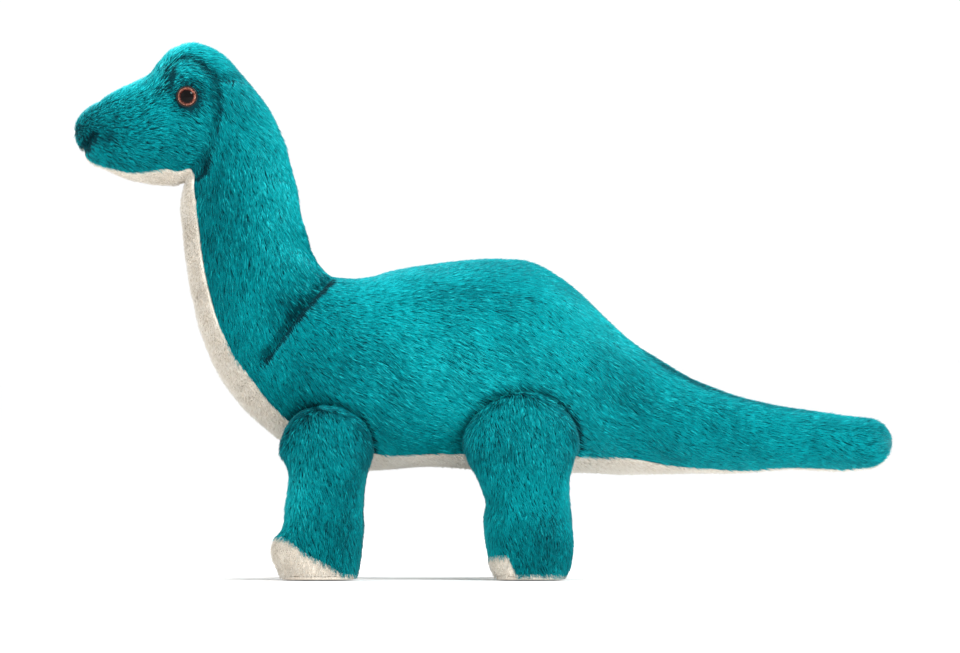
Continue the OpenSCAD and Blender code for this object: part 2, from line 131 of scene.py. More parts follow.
spine = {
    # [back x, back z, belly x, belly z, width, upper seam, lower seam, fullness], in mm and degrees
    "stations": [
        [-250, 308.5, -252, 270.5, 39.6, 42, 162, 2.3],
        [-244, 312.5, -247.5, 268, 42.6, 44, 158, 2.3],
        [-236, 317, -242, 264.5, 46.2, 45, 154, 2.3],
        [-226, 321.5, -235, 261.5, 49.8, 47, 150, 2.3],
        [-217, 326.5, -228, 259.5, 52.2, 50, 147, 2.3],
        [-210, 334, -221, 258.5, 54.6, 52, 145, 2.3],
        [-201, 342.5, -214, 257.5, 56.4, 44, 143, 2.3],
        [-188, 346.5, -207, 257, 58.2, 42, 141, 2.3],
        [-172, 340.5, -200, 256.5, 59.4, 45, 143, 2.25],
        [-158.5, 328, -193, 257, 60, 50, 138, 2.2],
        [-141, 306, -195, 243, 61.6, 56, 134, 2.1],
        [-131, 287, -194, 227, 64.6, 56, 135, 2.1],
        [-125.5, 270, -191.5, 205, 67.6, 56, 137, 2.1],
        [-121, 252, -187, 180, 70.7, 56, 137, 2.1],
        [-118, 234, -180, 155, 73, 56, 135, 2.1],
        [-112, 214, -170, 133, 75.2, 56, 133, 2.1],
        [-102.5, 199, -160, 118.5, 76.8, 56, 131, 2.2],
        [-90, 195, -143, 101, 92.2, 58, 136, 2.3],
        [-74, 195, -122, 85, 108.8, 60, 142, 2.3],
        [-55, 199, -97, 75, 120.3, 60, 147, 2.3],
        [-34, 202.5, -66, 72.5, 126.7, 60, 149, 2.3],
        [-12, 205, -34, 73, 128, 60, 149, 2.3],
        [10, 206, -2, 72, 128, 60, 148, 2.3],
        [30, 203.5, 28, 70, 124.2, 60, 146, 2.3],
        [48, 195, 53, 69, 115.2, 60, 144, 2.3],
        [66, 181, 72, 69, 102.4, 60, 142, 2.25],
        [84, 163.5, 87, 69, 88, 60, 140, 2.15],
        [101, 150, 103, 69, 76.6, 60, 142, 2.1],
        [119, 138.5, 121, 69, 67.8, 60, 150, 2.1],
        [139, 127, 141, 69.5, 59.8, 60, 156, 2.1],
        [161, 119, 162, 70.5, 52.8, 60, 162, 2.1],
        [184, 113.5, 184, 71, 46.6, 60, 165, 2.1],
        [208, 108.5, 208, 71, 42.2, 60, 166, 2.1],
        [230, 105.5, 230, 71, 38.7, 60, 166, 2.1],
        [248, 103.5, 248, 71.5, 35.2, 60, 166, 2.1],
    ],
    "snoutRound": 15,
    "snoutTaper": 0.3,
    "tailRound": 17,
    "rowsEach": 9,  # grid rows from one station to the next
    "roundRows": 12,  # grid rows of a rounded end
}
stations = np.array(spine["stations"], float)
lastStation = len(stations) - 1
headBase, neckCut, neckBase, tailCut = 9, 13, 16, 24  # stations where pieces end

seams = {
    # side-view lines of [x, z] in mm, along which the cloth is pressed into a fold
    "brow": [
        (-209.6, 315.9), (-204, 317.4), (-205.1, 326.3), (-202, 333.5), (-195, 337.4),
        (-189.1, 337.4), (-182.3, 333.5), (-178.1, 328.3), (-173.2, 325.7),
    ],
    "cheek": [
        (-173.2, 325.3), (-171.3, 305.5), (-173.9, 290.6), (-177.1, 280.8), (-181, 266.5),
        (-186.2, 262),
    ],
    "nape": [(-173, 325.7), (-160.2, 325.7), (-155.7, 323.7)],
    "mouth": [(-263, 275), (-257.5, 281.5), (-252, 288.5)],
    "dart": [(-100, 196), (-118.2, 176.2), (-129, 161.2), (-142, 144.3)],
    "tailTop": [
        (95, 155), (101, 150.8), (117, 137.6), (140, 125.2), (167, 117), (185, 113), (214, 108),
    ],
}
folds = {  # depth and half width of each, in mm
    "brow": (2.1, 3.5),
    "cheek": (2.1, 2.6),
    "nape": (1.8, 2.4),
    "mouth": (2.6, 1.7),
    "dart": (1.9, 3.0),
    "tailTop": (1.6, 1.5),
    "hip": (2.0, 2.6),  # the trunk dips round the top of each leg
}
foldShade = {  # painted shade in a fold: how much darker the pile is painted there, and how far from it, in mm
    "brow": (0.38, 3.4), "cheek": (0.33, 3.3), "nape": (0.20, 2.6), "mouth": (0.6, 1.8),
    "dart": (0.26, 2.8), "tailTop": (0.32, 1.6), "hip": (0.34, 3.2),
}
paintedLightAndShade = {
    # [x, z, reach in x, reach in z, change of tone]: painted light and shade, lighter where
    # light falls on the pile and darker where shade falls
    "dart": (-122, 182, 14, 13, -0.22),
    "chest": (-112, 140, 26, 26, -0.08),
    "backDip": (-16, 183, 34, 13, -0.10),
    "shoulder": (-78, 178, 12, 14, 0.06),
    "flank": (-5, 132, 70, 40, 0.05),
    "rump": (58, 172, 30, 22, 0.08),
    "behindHip": (92, 125, 22, 22, -0.05),
    "crown": (-195, 341, 26, 8, 0.10),
    "nape": (-128, 262, 20, 60, 0.10),
    "neckFront": (-172, 215, 16, 60, -0.08),
    "underBrow": (-192, 330, 10, 5, -0.06),
    "jaw": (-215, 280, 36, 18, -0.08),
    "snoutTop": (-228, 316, 20, 7, 0.04),
    "nostril": (-244, 287, 7, 5, -0.22),
    "shin": (-121, 54, 9, 24, 0.09),
    "heel": (34, 27, 20, 8, -0.07),
    "ankle": (-100, 30, 16, 12, -0.06),
}
glints = [
    # [x, z, reach in x, reach in z, share of strands with a bright tip]: painted highlights,
    # glints where light catches the pile
    (-5, 132, 66, 34, 0.20), (-130, 262, 24, 62, 0.32), (-204, 334, 24, 13, 0.26),
    (-226, 318, 24, 8, 0.22), (72, 165, 34, 18, 0.16), (-40, 150, 40, 26, 0.10),
    (-104, 78, 16, 30, 0.08), (-121, 52, 9, 24, 0.14), (26, 92, 26, 22, 0.06),
    (120, 115, 40, 14, 0.06), (-188, 290, 20, 16, 0.12),
]
swellings = {
    # [x, z, reach in x, reach in z, how far the cloth stands out, in mm]
    "brow": (-190, 327, 15, 7, 2.4),
    "cheek": (-205, 285, 22, 16, 2.0),
    "lip": (-252, 271, 9, 6, 2.2),
    "nostril": (-246, 287, 6, 4.5, -1.6),
}
uneven = {
    # [amount, size in mm, seed]: lumps of the filling in mm, and slow changes of tone
    "spine": [(0.8, 60, 3), (0.3, 22, 4)],
    "leg": [(0.7, 40, 8), (0.3, 16, 9)],
    "spineTone": [(0.05, 60, 12), (0.04, 20, 13)],
    "legTone": [(0.06, 50, 14), (0.04, 18, 15)],
}
eyePlace = np.array([-191.5, 312.5])
eyeSocket = (9, -2.2)  # reach and depth of the dip round the eye

legs = {
    "front": {
        "hip": (-101, 82), "radius": 30, "toeHeight": 28, "toeSlope": (-0.9, 0.75),
        # [height, front edge, rear edge], the edges as shares of the hip radius
        "outline": [
            [0, -0.93, 0.57], [2.5, -0.97, 0.62], [8, -1.05, 0.66], [15, -1.14, 0.69],
            [21, -1.15, 0.71], [27, -1.07, 0.73], [33, -0.93, 0.75], [48, -0.83, 0.77],
            [60, -0.77, 0.79], [70, -0.80, 0.86], [76, -0.87, 0.94], [82, -0.97, 0.99],
        ],
    },
    "rear": {
        "hip": (25, 85), "radius": 37, "toeHeight": 16, "toeSlope": (-0.5, -0.25),
        "outline": [
            [0, -0.42, 0.70], [2.5, -0.45, 0.76], [8, -0.52, 0.84], [17, -0.56, 0.88],
            [30, -0.60, 0.90], [40, -0.60, 0.87], [50, -0.59, 0.83], [60, -0.69, 0.82],
            [68, -0.80, 0.84], [76, -0.92, 0.91], [85, -0.99, 0.99],
        ],
    },
}
legBuild = {  # in mm: the gap between a pair, the width, where the toe meets the sole and the heel
    "space": 62, "width": 44, "sole": 2.5, "toeBack": 1.2,
    "fullness": 2.6,
    "topShare": 0.8,  # width at the very top as a share
    "capTurn": 1.2,  # radians past the hip where the sides start to close
    "columns": 44, "toeColumns": 80,
}


def station(t):
    # Catmull-Rom curve through the stations: t counts stations from the snout
    ends = np.vstack([2 * stations[0] - stations[1], stations, 2 * stations[-1] - stations[-2]])
    inner = np.clip(t, 0, lastStation)
    i = np.minimum(inner.astype(int), lastStation - 1)
    f = (inner - i)[..., None]
    a, b, c, d = ends[i], ends[i + 1], ends[i + 2], ends[i + 3]
    return (
        2 * b + (c - a) * f + (2 * a - 5 * b + 4 * c - d) * f**2 + (3 * b - a - 3 * c + d) * f**3
    ) / 2


def spineSurface(t, theta):
    # A superellipse |cos|^(2/full), |sin|^(2/full) hung between the back and the belly point.
    # Past either end it shrinks by cos(a) and moves out by sin(a), which rounds the end.
    t, theta = np.broadcast_arrays(np.asarray(t, float), np.asarray(theta, float))
    s = station(t)
    back, belly = s[..., 0:2], s[..., 2:4]
    atSnout, atTail = np.clip(-t, 0, 1), np.clip(t - lastStation, 0, 1)
    a = (atSnout + atTail) * math.pi / 2
    rise = unit(back - belly)
    ahead = np.stack([rise[..., 1], -rise[..., 0]], -1)
    reach = np.sin(a) * (spine["tailRound"] * (atTail > 0) - spine["snoutRound"] * (atSnout > 0))
    c, w = np.cos(np.radians(theta)), np.sin(np.radians(theta))
    power = 2 / s[..., 7]
    shrink = np.cos(a) * (1 - spine["snoutTaper"] * np.sin(a) * (atSnout > 0))
    up = np.sign(c) * np.abs(c) ** power * shrink
    side = np.sign(w) * np.abs(w) ** power * shrink
    flat = (back + belly) / 2 + (back - belly) / 2 * up[..., None] + ahead * reach[..., None]
    return np.stack([flat[..., 0], s[..., 4] / 2 * side, flat[..., 1]], -1) * mm * stretch


def spineNormal(t, theta):
    # cross product of the two slopes of the surface, each from a small step either way
    t = np.clip(t, -0.97, lastStation + 0.97)
    alongIt = spineSurface(t + 0.02, theta) - spineSurface(t - 0.02, theta)
    roundIt = spineSurface(t, theta + 1) - spineSurface(t, theta - 1)
    return unit(np.cross(alongIt, roundIt))


def unevenness(p, which):
    # sum of the table's slow waves, each times its amount
    return sum(amount * waves(p, size * mm, seed) for amount, size, seed in uneven[which])


def foldSum(p, sizes):
    # The largest over the folds of size * exp(-(distance / half width)^2), fading out towards
    # the middle line of the toy. The mouth goes right round, the tail's fold is on one side,
    # the cheek's is weak half way down, and the ring round each hip is a fold of the trunk.
    wide = np.abs(p[..., 1]) / mm
    total = np.zeros(p.shape[:-1])
    fade = ease(wide, 3, 14)
    reach = {
        "mouth": 1.0,
        "tailTop": ease(-p[..., 1] / mm, 1, 5),
        "cheek": fade * (1 - 0.7 * hump(p[..., 2] / mm - 286, 11)),
    }
    for name, line in seams.items():
        size, width = sizes[name]
        total = np.maximum(total, size * hump(lineDistance(p, line), width) * reach.get(name, fade))
    size, width = sizes["hip"]
    for leg in legs.values():
        x, z = p[..., 0] / mm - leg["hip"][0], p[..., 2] / mm - leg["hip"][1]
        ring = hump(np.hypot(x, z) - leg["radius"] + 0.3, width) * ease(z, -6, 20)
        total = np.maximum(total, size * ring * ease(wide, 30, 40))
    return total


def patchwork(p, table):
    # sum of soft ellipses in the side view, each exp(-(x / reach)^2 - (z / reach)^2) times its amount
    x, z = p[..., 0] / mm, p[..., 2] / mm
    return sum(
        amount * hump(np.hypot((x - cx) / rx, (z - cz) / rz), 1) for cx, cz, rx, rz, amount in table
    )


def bulges(p):
    # the face's swellings, in mm, which but for the lip fade out towards its middle line, plus
    # the soft lumps of the filling
    wide = np.abs(p[..., 1]) / mm
    brow, cheek, lip, nostril = (patchwork(p, [swelling]) for swelling in swellings.values())
    reach, depth = eyeSocket
    socket = depth * hump(np.hypot(p[..., 0] / mm - eyePlace[0], p[..., 2] / mm - eyePlace[1]), reach)
    face = (brow + socket + cheek) * ease(wide, 8, 20) + lip + nostril * ease(wide, 6, 12)
    return face + unevenness(p, "spine")


def spineShape(t, theta):
    # the surface moved along its normal by the swellings less the folds
    p, n = spineSurface(t, theta), spineNormal(t, theta)
    return p + n * ((bulges(p) - foldSum(p, folds)) * mm)[..., None]


def seamAngle(t, which):
    # at the snout the lower seam closes up towards the chin's middle line
    chin = 16 * ease(-np.asarray(t, float), 0, 0.7) * (which == "lower")
    return station(t)[..., {"upper": 5, "lower": 6}[which]] + chin


def rowsFrom(first, last):
    # places of the rows, closer together where an end rounds
    rows = []
    if first < 0:
        rows.append(-np.sin(np.linspace(math.pi / 2, 0, spine["roundRows"], endpoint=False)))
    start, stop = max(first, 0), min(last, lastStation)
    rows.append(np.linspace(start, stop, (stop - start) * spine["rowsEach"] + 1))
    if last > lastStation:
        rows.append(lastStation + np.sin(np.linspace(0, math.pi / 2, spine["roundRows"] + 1))[1:])
    return np.concatenate(rows)


def spineGrid(first, last, low, high, columns):
    # rows run along the toy, columns from the angle low(t) to the angle high(t)
    t = rowsFrom(first, last)[:, None]
    v = np.linspace(0, 1, columns + 1)[None, :]
    theta = low(t) + (high(t) - low(t)) * v
    t = np.broadcast_to(t, theta.shape)
    return spineShape(t, theta), spineNormal(t, theta), t, theta


# ---- legs ----

def toeSeam(leg, phi):
    # height of the toe seam: high in front, falling to the heel by a smooth step in cos(phi)
    low, high = legBuild["toeBack"] + legBuild["sole"], leg["toeHeight"]
    return low + (high - low) * (1 - ease(np.cos(np.radians(phi)), *leg["toeSlope"]))


def legSurface(leg, z, phi):
    # A squared ellipse between the front and rear edge at height z. Above the hip, z counts
    # degrees past it, the section shrinks by the cosine while it climbs by the sine, and its
    # sides close on its middle at the end.
    z, phi = np.broadcast_arrays(np.asarray(z, float), np.asarray(phi, float))
    hipX, hipZ = leg["hip"]
    heights, fronts, rears = np.array(leg["outline"]).T
    turn = np.radians(np.clip(z - hipZ, 0, 90))
    level = np.minimum(z, hipZ)
    front = smoothLookup(level, heights, fronts) * leg["radius"]
    rear = smoothLookup(level, heights, rears) * leg["radius"]
    share = 1 - (1 - legBuild["topShare"]) * np.sin(turn)
    width = legBuild["width"] * share
    power = 2 / legBuild["fullness"]
    c, s = np.cos(np.radians(phi)), np.sin(np.radians(phi))
    c, s = np.sign(c) * np.abs(c) ** power, np.sign(s) * np.abs(s) ** power
    x = hipX + (front + rear) / 2 + (rear - front) / 2 * np.cos(turn) * c
    middle = legBuild["space"] / 2 + width / 2
    y = middle + width / 2 * s * np.cos(turn / 2)
    y = y + (middle - y) * ease(turn, legBuild["capTurn"], math.pi / 2)
    return np.stack([x, y, level + leg["radius"] * np.sin(turn)], -1) * mm * stretch


def legNormal(leg, z, phi):
    # cross product of the two slopes of the surface, each from a small step either way
    z = np.clip(z, 0.6, leg["hip"][1] + 88)
    upIt = legSurface(leg, z + 0.5, phi) - legSurface(leg, z - 0.5, phi)
    roundIt = legSurface(leg, z, phi + 1) - legSurface(leg, z, phi - 1)
    return unit(np.cross(roundIt, upIt))


def legShape(leg, z, phi):
    # soft lumps of the filling, fading out at the sole
    p, n = legSurface(leg, z, phi), legNormal(leg, z, phi)
    return p + n * (unevenness(p, "leg") * ease(z, 2, 14) * mm)[..., None]


def legGrid(leg, part, first, last, columns):
    # part "leg" runs from the toe seam to the top, part "toe" from the sole to the toe seam
    phi = np.linspace(first, last, columns + 1)[None, :]
    seam, hip = toeSeam(leg, phi), leg["hip"][1]
    if part == "toe":
        k = np.linspace(0, 1, 9)[:, None]
        z = legBuild["sole"] + (seam - legBuild["sole"]) * k
    else:
        k = np.linspace(0, 1, 31)[:, None]
        z = seam + (hip - seam) * k
        z = np.vstack([z, hip + np.linspace(0, 90, 19)[1:, None] + 0 * phi])
    phi = np.broadcast_to(phi, z.shape)
    return legShape(leg, z, phi), legNormal(leg, z, phi), z, phi


# ---- meshes ----

def makeObject(name, points, faces, finish):
    # a smooth-shaded mesh object from arrays of points and of faces with equal corner counts
    mesh = bpy.data.meshes.new(name)
    points, faces = np.asarray(points, np.float32), np.asarray(faces, np.int32)
    corners = faces.shape[1]
    mesh.vertices.add(len(points))
    mesh.vertices.foreach_set("co", points.ravel())
    mesh.loops.add(faces.size)
    mesh.loops.foreach_set("vertex_index", faces.ravel())
    mesh.polygons.add(len(faces))
    mesh.polygons.foreach_set("loop_start", np.arange(0, faces.size, corners, dtype=np.int32))
    mesh.polygons.foreach_set("use_smooth", np.full(len(faces), True))
    mesh.update(calc_edges=True)
    mesh.materials.append(finish)
    made = bpy.data.objects.new(name, mesh)
    bpy.context.scene.collection.objects.link(made)
    return made


def signedVolume(points, faces):
    # sum of the tetrahedra from the origin to each face, cut into triangles
    a, b, c = points[faces[:, 0]], points[faces[:, 1]], points[faces[:, 2]]
    total = np.einsum("ij,ij->i", a, np.cross(b, c)).sum()
    if faces.shape[1] == 4:
        d = points[faces[:, 3]]
        total += np.einsum("ij,ij->i", a, np.cross(c, d)).sum()
    return total


def mergeDoubles(obj):
    # joins points that lie together, as at a pole, and drops the faces that this leaves empty
    work = bmesh.new()
    work.from_mesh(obj.data)
    bmesh.ops.remove_doubles(work, verts=work.verts, dist=2e-6)
    bmesh.ops.dissolve_degenerate(work, edges=work.edges, dist=1e-7)
    work.to_mesh(obj.data)
    work.free()


def shell(name, points, normals, keep, thickness, finish, ring=False):
    # The grid and a copy of it moved in along the normals, joined by a wall wherever a kept
    # cell has no kept neighbour. A ring's last column meets its first.
    m, n = points.shape[:2]
    inner = points - normals * thickness * mm
    number = np.arange(m * n).reshape(m, n)
    if keep is None:
        keep = np.ones((m - 1, n - 1), bool)
    a, b = number[:-1, :-1], number[:-1, 1:]
    c, d = number[1:, 1:], number[1:, :-1]
    outerFaces = np.stack([a, b, c, d], -1)[keep]
    edge = np.zeros((m + 1, n + 1), bool)
    edge[1:-1, 1:-1] = keep
    if ring:
        edge[1:-1, 0], edge[1:-1, -1] = keep[:, -1], keep[:, 0]
    walls = []
    for p, q, away in (
        (a, b, edge[:-2, 1:-1]), (b, c, edge[1:-1, 2:]), (c, d, edge[2:, 1:-1]), (d, a, edge[1:-1, :-2]),
    ):
        bare = keep & ~away
        walls.append(np.stack([q[bare], p[bare], p[bare] + m * n, q[bare] + m * n], -1))
    faces = np.concatenate([outerFaces, outerFaces[:, ::-1] + m * n, *walls])
    both = np.concatenate([points.reshape(-1, 3), inner.reshape(-1, 3)])
    if signedVolume(both, faces) < 0:
        faces = faces[:, ::-1]
    used, faces = np.unique(faces, return_inverse=True)
    made = makeObject(name, both[used], faces.reshape(-1, 4), finish)
    mergeDoubles(made)
    return made


def mirrored(grid):
    # the same grid on the other side of the toy
    return (grid[0] * across, grid[1] * across, *grid[2:])


# ---- materials ----

class Socket:
    # one output of a node; arithmetic on it adds Math nodes
    def __init__(self, finish, socket):
        self.finish, self.socket = finish, socket

    def math(self, operation, first, second):
        return self.finish.add("ShaderNodeMath", {"operation": operation}, {0: first, 1: second})

    def __add__(self, other):
        return self.math("ADD", self, other)

    def __radd__(self, other):
        return self.math("ADD", other, self)

    def __sub__(self, other):
        return self.math("SUBTRACT", self, other)

    def __rsub__(self, other):
        return self.math("SUBTRACT", other, self)

    def __mul__(self, other):
        return self.math("MULTIPLY", self, other)

    def __rmul__(self, other):
        return self.math("MULTIPLY", other, self)


class Finish:
    # a material and the one method that adds its nodes
    def __init__(self, name, **shader):
        self.material = bpy.data.materials.new(name)
        self.material.use_nodes = True
        self.tree = self.material.node_tree
        self.shader = next(n for n in self.tree.nodes if n.type == "BSDF_PRINCIPLED")
        for socket, value in shader.items():
            self.put(self.shader.inputs[socket.replace("_", " ")], value)

    def put(self, socket, value):
        if isinstance(value, Socket):
            self.tree.links.new(value.socket, socket)
        elif value is not None:
            socket.default_value = value

    def add(self, kind, settings=None, values=None, output=0):
        node = self.tree.nodes.new(kind)
        for name, value in (settings or {}).items():
            if name == "stops":
                for i, (place, colour) in enumerate(value):
                    stop = node.color_ramp.elements
                    stop = stop[i] if i < len(stop) else stop.new(place)
                    stop.position, stop.color = place, (*colour, 1)
            else:
                setattr(node, name, value)
        for name, value in (values or {}).items():
            self.put(node.inputs[name], value)
        return Socket(self, node.outputs[output])

    def feed(self, **links):
        for socket, value in links.items():
            self.put(self.shader.inputs[socket.replace("_", " ")], value)
        return self.material

    def noise(self, place, scale, detail=2.0, rough=0.5):
        return self.add(
            "ShaderNodeTexNoise", {}, {"Vector": place, "Scale": scale, "Detail": detail, "Roughness": rough}
        )

    def ramp(self, value, stops):
        return self.add("ShaderNodeValToRGB", {"stops": stops}, {"Fac": value})

    def mix(self, factor, first, second, blend="MIX"):
        # sockets 6 and 7 are the two colours of a Mix node, and output 2 is its colour
        settings = {"data_type": "RGBA", "blend_type": blend}
        return self.add("ShaderNodeMix", settings, {"Factor": factor, 6: first, 7: second}, 2)

    def place(self):
        return self.add("ShaderNodeTexCoord", {}, {}, "Object")

    def bump(self, height, strength, distance):
        return self.add("ShaderNodeBump", {}, {"Height": height, "Strength": strength, "Distance": distance})


colours = {  # linear values
    # the teal backing is near black: painted shade where it shows between the strands and in the folds
    "backingDark": (0, 0.006, 0.010),
    "backing": (0.0003, 0.045, 0.058),
    # the darkest teal is painted shade deep in the folds, the lightest teal a painted glint
    "tealDeepShade": (0.0004, 0.016, 0.024),
    "tealDark": (0.0005, 0.105, 0.130),
    "teal": (0.0006, 0.33, 0.375),
    "tealLight": (0.003, 0.56, 0.61),
    "tealGlint": (0.03, 0.80, 0.84),
    "creamDark": (0.56, 0.48, 0.39),
    "cream": (0.86, 0.80, 0.70),
    "creamLight": (0.97, 0.93, 0.87),
    "amber": (0.17, 0.045, 0.025),
    "pink": (0.50, 0.20, 0.15),
    "rust": (0.10, 0.03, 0.02),
    "pupil": (0.003, 0.002, 0.002),
    "fleck": (0.03, 0.008, 0.005),
    "rim": (0.012, 0.009, 0.009),
    "black": (0, 0, 0),
    "white": (1, 1, 1),
}


def skinFinish(name, dark, light):
    # backing cloth under the pile: two sizes of noise mixed into one tone, and a fine bump; the teal one is
    # coloured near black, as painted shade
    finish = Finish(name, Roughness=0.9, Specular_IOR_Level=0.08)
    place = finish.place()
    tone = finish.noise(place, 55, 3) * 0.6 + finish.noise(place, 700, 2) * 0.4
    finish.feed(
        Base_Color=finish.ramp(tone, [(0.3, dark), (0.7, light)]),
        Normal=finish.bump(finish.noise(place, 900, 2), 0.5, 0.0006),
    )
    return finish.material


def pileFinish(name, tones, tint, **shader):
    # The map's first number is the strand's tone, its second runs from root to tip, and the
    # ramp is read at tone + (second - 1/2) * 0.22, so that tips are lighter than roots: the
    # darker roots are painted shade deep in the pile.
    finish = Finish(name, Specular_Tint=(*tint, 1), Sheen_Tint=(*tint, 1), Sheen_Roughness=0.4, **shader)
    spot = finish.add("ShaderNodeUVMap", {"uv_map": "OFBake"}, {})
    split = finish.add("ShaderNodeSeparateXYZ", {}, {"Vector": spot})
    tip = Socket(finish, split.socket.node.outputs[1])
    tone = split + (tip - 0.5) * 0.22
    finish.feed(Base_Color=finish.ramp(tone, tones))
    return finish.material


# the teal backing stands for painted shade under the pile
tealSkin = skinFinish("tealBackingInShade", colours["backingDark"], colours["backing"])
creamSkin = skinFinish("creamBacking", colours["creamDark"], colours["cream"])
tealPile = pileFinish(
    "tealPile",
    # the ramp's dark end is painted shade and its bright end painted light and glints
    [(0.0, colours["tealDeepShade"]), (0.25, colours["tealDark"]), (0.5, colours["teal"]),
     (0.75, colours["tealLight"]), (1.0, colours["tealGlint"])],
    (0.10, 0.85, 1.0), Roughness=0.37, Specular_IOR_Level=0.52,
)
creamPile = pileFinish(
    "creamPile",
    [(0.0, colours["creamDark"]), (0.4, colours["cream"]), (0.85, colours["creamLight"])],
    (1, 0.97, 0.9), Roughness=0.7, Specular_IOR_Level=0.3, Sheen_Weight=0.2,
)
print("materials made")


# ---- pile ----

# Lengths in mm and rise in degrees off the cloth. swirl and tuft turn the strands sideways, in
# slow waves and tuft by tuft; spread and tuftTone vary their tone, strand by strand and by tuft.
tealCoat = {
    "perSquareMm": 1.94, "length": 6.6, "width": 0.58, "rise": 13, "swirl": 0.17, "tuft": 0.17,
    "spread": 0.09, "tuftTone": 0.07, "seed": 21,
}
creamCoat = {
    "perSquareMm": 1.7, "length": 3.6, "width": 0.5, "rise": 34, "swirl": 0.5, "tuft": 0.5,
    "spread": 0.10, "tuftTone": 0.08, "seed": 22,
}
strand = {
    "tuftSize": 2.4,
    "swirlSize": 28,
    "stray": 0.08,  # sideways scatter of single strands
    "riseTuft": 0.3, "riseStray": 3,  # share by which the rise differs between tufts, scatter in degrees
    "shortRise": 22,  # how many degrees more a strand of no length rises
    "sunk": 0.06,  # share of its length below the cloth
    "ridge": 1.3,  # height of its third side in half widths
    # the tones of the painted glints
    "glintTones": (0.75, 1.1),
    "thinInside": 0.7,  # pile left on the inner sides of the legs
}


def pile(name, patches, coat, finish):
    # Strands scattered over the patches by area. Each is a closed three-sided spike whose axis
    # leans from the comb direction towards the normal by the rise angle. None reaches below the floor.
    draw = np.random.default_rng(coat["seed"] + sum(map(ord, name)))
    gathered = []
    for patch in patches:
        p, n, way = patch["points"], patch["normals"], patch["comb"]
        field = np.concatenate([
            p, n, way, np.stack([patch["tone"], patch["length"], patch["glint"]], -1),
        ], -1)
        right, down = p[:-1, 1:] - p[:-1, :-1], p[1:, :-1] - p[:-1, :-1]
        area = np.linalg.norm(np.cross(right, down), axis=-1) / mm**2
        area = area * (patch["length"][:-1, :-1] > 0.05) * patch.get("thick", 1.0)
        count = int(area.sum() * coat["perSquareMm"])
        total = np.cumsum(area.ravel())
        cell = np.searchsorted(total, draw.random(count) * total[-1])
        i, j = np.divmod(np.minimum(cell, area.size - 1), area.shape[1])
        f, g = draw.random((2, count, 1))
        mixed = (
            field[i, j] * (1 - f) * (1 - g) + field[i + 1, j] * f * (1 - g)
            + field[i, j + 1] * (1 - f) * g + field[i + 1, j + 1] * f * g
        )
        if "skip" in patch:
            mixed = mixed[~patch["skip"](mixed[:, 0:3])]
        gathered.append(mixed)
    gathered = np.concatenate(gathered)
    root, up, way = gathered[:, 0:3], unit(gathered[:, 3:6]), gathered[:, 6:9]
    tone, length, glint = gathered[:, 9:].T
    count = len(root)
    tuft = strand["tuftSize"] * mm
    jitter = root + draw.normal(0, 0.25 * tuft, (count, 3))
    lean = coat["swirl"] * waves(root, strand["swirlSize"] * mm, 31)
    lean = lean + coat["tuft"] * tuftNumber(jitter, tuft, 5)
    way = unit(way - up * np.einsum("ij,ij->i", way, up)[:, None])
    way = unit(way + np.cross(up, way) * (lean + draw.normal(0, strand["stray"], count))[:, None])
    rise = coat["rise"] * (1 + strand["riseTuft"] * tuftNumber(jitter, tuft, 6))
    rise = rise + draw.normal(0, strand["riseStray"], count)
    rise = np.radians(rise + strand["shortRise"] * (1 - np.clip(length, 0, 1)))
    aim = way * np.cos(rise)[:, None] + up * np.sin(rise)[:, None]
    long = coat["length"] * mm * length * draw.uniform(0.7, 1.15, count)
    half = coat["width"] / 2 * mm * draw.uniform(0.65, 1.25, count) * np.clip(length, 0.5, 1)
    beside = unit(np.cross(aim, up))
    above = unit(np.cross(beside, aim))
    low = root - up * (strand["sunk"] * long)[:, None]
    points = np.stack([
        low + beside * half[:, None],
        low - beside * half[:, None],
        low + above * (half * strand["ridge"])[:, None],
        low + aim * long[:, None],
    ], 1)
    points[..., 2] = np.maximum(points[..., 2], 0)
    first = 4 * np.arange(count)[:, None, None]
    faces = (first + np.array([[0, 1, 2], [0, 3, 1], [1, 3, 2], [2, 3, 0]])[None]).reshape(-1, 3)
    flat = points.reshape(-1, 3)
    if signedVolume(flat - flat.mean(0), faces) < 0:
        faces = faces[:, ::-1]
    made = makeObject(name, flat, faces, finish)
    tone = tone + draw.normal(0, coat["spread"], count) + coat["tuftTone"] * tuftNumber(jitter, tuft, 7)
    # painted highlights: a picked strand's tone is raised to a bright glint
    picked = draw.random(count) < glint
    tone = np.where(picked, np.maximum(tone + 0.2, draw.uniform(*strand["glintTones"], count)), tone)
    tone = np.clip(tone, 0.02, 0.98)
    # each corner's place in the map: the three of the root lie close together, the tip far off
    corners = np.array([[-0.002, 0.02], [0.002, 0.02], [0, 0.04], [0, 0.98]])
    spot = (corners + np.stack([tone, 0 * tone], -1)[:, None]).reshape(-1, 2)
    layer = made.data.uv_layers.new(name="OFBake", do_init=False)
    layer.uv.foreach_set("vector", spot[faces.ravel()].astype(np.float32).ravel())
    print(name, count, "strands")
    return made


# ---- which parts of the trunk and legs lie inside each other ----

sideMap = {"square": 2, "start": -300, "squares": (300, 200)}  # the side view cut into squares, in mm


def squareOf(flat):
    # the column and row of the square that each point falls in
    columns, rows = sideMap["squares"]
    i = ((flat[:, 0] - sideMap["start"]) / sideMap["square"]).astype(int)
    j = (flat[:, 2] / sideMap["square"]).astype(int)
    return np.clip(i, 0, columns - 1), np.clip(j, 0, rows - 1)


def depthMap(points):
    # the widest |y| met in each square of the side view
    grid = np.zeros(sideMap["squares"])
    flat = points.reshape(-1, 3) / mm
    np.maximum.at(grid, squareOf(flat), np.abs(flat[:, 1]))
    return grid


def insideOf(grid, p, margin):
    # points nearer the middle of the toy than the surface in the same square, less a margin
    flat = p / mm
    return np.abs(flat[:, 1]) < grid[squareOf(flat)] - margin


